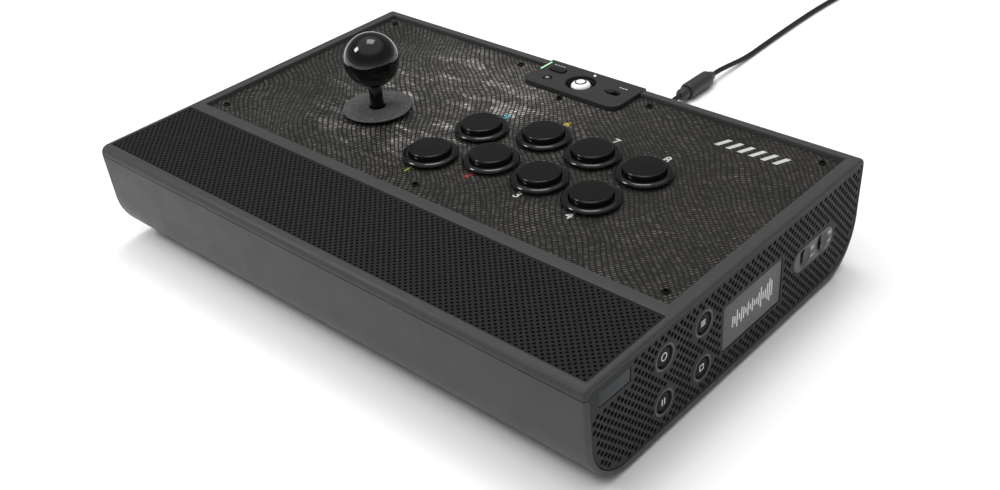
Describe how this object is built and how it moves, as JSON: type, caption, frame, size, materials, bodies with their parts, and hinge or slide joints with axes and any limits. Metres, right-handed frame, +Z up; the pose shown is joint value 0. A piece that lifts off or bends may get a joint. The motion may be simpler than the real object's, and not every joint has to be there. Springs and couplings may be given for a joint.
{
  "type": "arcade joystick panel",
  "caption": "Desk-top arcade control panel: ball-top lever, domed push buttons, palm mat, rear control module, perforated side panels and a coiled USB cord.",
  "frame": {"origin": "centre of the case's footprint, on the surface the feet stand on", "axes": "+X to the user's right along the case's width, +Y to the rear, +Z up"},
  "size_m": [0.386, 0.6689, 0.1213],
  "materials": {
    "case_plastic": "fine satin texture",
    "side_plastic": "fine satin texture, perforated",
    "clear_cover": "clear acrylic",
    "art_print": "printed scale pattern",
    "zinc_steel": "zinc plated",
    "palm_mat": "soft grip with small pits",
    "gloss_black": "polished",
    "button_black": "satin gloss",
    "guide_white": "satin",
    "inset_grey": "satin",
    "white_nylon": "moulded",
    "foot_rubber": "moulded",
    "circuit_board": "solder mask",
    "cord_jacket": "smooth jacket"
  },
  "bodies": {
    "case": {"bottom_shell": "case_plastic", "top_frame": "case_plastic", "module_housing": "case_plastic", "side_panel_left": "side_plastic", "side_panel_right": "side_plastic", "clear_cover": "clear_cover", "art_sheet": "art_print", "mounting_plate": "zinc_steel", "palm_mat": "palm_mat", "button_1_housing": "button_black", "button_2_housing": "button_black", "button_3_housing": "button_black", "button_4_housing": "button_black", "button_5_housing": "button_black", "button_6_housing": "button_black", "button_7_housing": "button_black", "button_8_housing": "button_black", "stick_housing": "button_black", "display_plate": "inset_grey", "switch_plate": "inset_grey", "stick_gate": "white_nylon", "foot_1": "foot_rubber", "foot_2": "foot_rubber", "foot_3": "foot_rubber", "foot_4": "foot_rubber", "cord_gland": "foot_rubber", "main_board": "circuit_board", "stick_switch_board": "circuit_board", "cord_lead": "cord_jacket", "breakaway_socket": "cord_jacket", "breakaway_plug": "cord_jacket", "cord_tail": "cord_jacket", "cord_coil": "cord_jacket", "usb_plug": "cord_jacket"},
    "button_1": {"button_1_plunger": "gloss_black"},
    "button_2": {"button_2_plunger": "gloss_black"},
    "button_3": {"button_3_plunger": "gloss_black"},
    "button_4": {"button_4_plunger": "gloss_black"},
    "button_5": {"button_5_plunger": "gloss_black"},
    "button_6": {"button_6_plunger": "gloss_black"},
    "button_7": {"button_7_plunger": "gloss_black"},
    "button_8": {"button_8_plunger": "gloss_black"},
    "stick_pivot": {"stick_pivot_cup": "white_nylon"},
    "stick": {"stick_shaft": "zinc_steel", "stick_sleeve": "button_black", "ball_top": "gloss_black", "stick_spring": "zinc_steel", "stick_actuator": "white_nylon"},
    "slip_washer": {"slip_washer": "button_black"},
    "dust_washer": {"dust_washer": "button_black"},
    "side_button_1": {"side_button_1": "button_black"},
    "side_button_2": {"side_button_2": "button_black"},
    "side_button_3": {"side_button_3": "button_black"},
    "side_button_4": {"side_button_4": "button_black"},
    "side_switch_front": {"side_switch_front": "button_black"},
    "side_switch_rear": {"side_switch_rear": "button_black"},
    "guide_button": {"guide_button": "guide_white"},
    "oval_button": {"oval_button": "button_black"},
    "small_button": {"small_button": "button_black"},
    "lock_slider": {"lock_slider": "button_black"}
  },
  "joints": [
    {"name": "button_1_travel", "type": "slide", "parent": "case", "child": "button_1", "axis": [0, 0, -1], "range_m": [0, 0.003], "stiffness_N_per_m": 250, "springref_m": -0.002},
    {"name": "button_2_travel", "type": "slide", "parent": "case", "child": "button_2", "axis": [0, 0, -1], "range_m": [0, 0.003], "stiffness_N_per_m": 250, "springref_m": -0.002},
    {"name": "button_3_travel", "type": "slide", "parent": "case", "child": "button_3", "axis": [0, 0, -1], "range_m": [0, 0.003], "stiffness_N_per_m": 250, "springref_m": -0.002},
    {"name": "button_4_travel", "type": "slide", "parent": "case", "child": "button_4", "axis": [0, 0, -1], "range_m": [0, 0.003], "stiffness_N_per_m": 250, "springref_m": -0.002},
    {"name": "button_5_travel", "type": "slide", "parent": "case", "child": "button_5", "axis": [0, 0, -1], "range_m": [0, 0.003], "stiffness_N_per_m": 250, "springref_m": -0.002},
    {"name": "button_6_travel", "type": "slide", "parent": "case", "child": "button_6", "axis": [0, 0, -1], "range_m": [0, 0.003], "stiffness_N_per_m": 250, "springref_m": -0.002},
    {"name": "button_7_travel", "type": "slide", "parent": "case", "child": "button_7", "axis": [0, 0, -1], "range_m": [0, 0.003], "stiffness_N_per_m": 250, "springref_m": -0.002},
    {"name": "button_8_travel", "type": "slide", "parent": "case", "child": "button_8", "axis": [0, 0, -1], "range_m": [0, 0.003], "stiffness_N_per_m": 250, "springref_m": -0.002},
    {"name": "stick_tilt_forward", "type": "hinge", "parent": "case", "child": "stick_pivot", "pos_m": [-0.0854, 0.0118, 0.052], "axis": [1, 0, 0], "range_deg": [-9, 9], "stiffness_Nm_per_rad": 0.5},
    {"name": "stick_tilt_side", "type": "hinge", "parent": "stick_pivot", "child": "stick", "pos_m": [-0.0854, 0.0118, 0.052], "axis": [0, 1, 0], "range_deg": [-9, 9], "stiffness_Nm_per_rad": 0.5},
    {"name": "slip_washer_travel", "type": "slide", "parent": "case", "child": "slip_washer", "axis": [1, 0, 0], "range_m": [-0.003, 0.003]},
    {"name": "dust_washer_travel", "type": "slide", "parent": "slip_washer", "child": "dust_washer", "axis": [0, 1, 0], "range_m": [-0.003, 0.003]},
    {"name": "side_button_1_travel", "type": "slide", "parent": "case", "child": "side_button_1", "axis": [-1, 0, 0], "range_m": [0, 0.001], "stiffness_N_per_m": 800, "springref_m": -0.001},
    {"name": "side_button_2_travel", "type": "slide", "parent": "case", "child": "side_button_2", "axis": [-1, 0, 0], "range_m": [0, 0.001], "stiffness_N_per_m": 800, "springref_m": -0.001},
    {"name": "side_button_3_travel", "type": "slide", "parent": "case", "child": "side_button_3", "axis": [-1, 0, 0], "range_m": [0, 0.001], "stiffness_N_per_m": 800, "springref_m": -0.001},
    {"name": "side_button_4_travel", "type": "slide", "parent": "case", "child": "side_button_4", "axis": [-1, 0, 0], "range_m": [0, 0.001], "stiffness_N_per_m": 800, "springref_m": -0.001},
    {"name": "side_switch_front_travel", "type": "slide", "parent": "case", "child": "side_switch_front", "axis": [0, 0, -1], "range_m": [0, 0.0045]},
    {"name": "side_switch_rear_travel", "type": "slide", "parent": "case", "child": "side_switch_rear", "axis": [0, 0, 1], "range_m": [0, 0.0045]},
    {"name": "guide_button_travel", "type": "slide", "parent": "case", "child": "guide_button", "axis": [0, 0, -1], "range_m": [0, 0.001], "stiffness_N_per_m": 800, "springref_m": -0.001},
    {"name": "oval_button_travel", "type": "slide", "parent": "case", "child": "oval_button", "axis": [0, 0, -1], "range_m": [0, 0.0008], "stiffness_N_per_m": 800, "springref_m": -0.001},
    {"name": "small_button_travel", "type": "slide", "parent": "case", "child": "small_button", "axis": [0, 0, -1], "range_m": [0, 0.0006], "stiffness_N_per_m": 800, "springref_m": -0.001},
    {"name": "lock_slider_travel", "type": "slide", "parent": "case", "child": "lock_slider", "axis": [1, 0, 0], "range_m": [0, 0.0044]}
  ],
  "couplings": [
    {"joint": "slip_washer_travel", "follows": "stick_tilt_side", "m_per_rad": 0.0189},
    {"joint": "dust_washer_travel", "follows": "stick_tilt_forward", "m_per_rad": -0.0189}
  ]
}
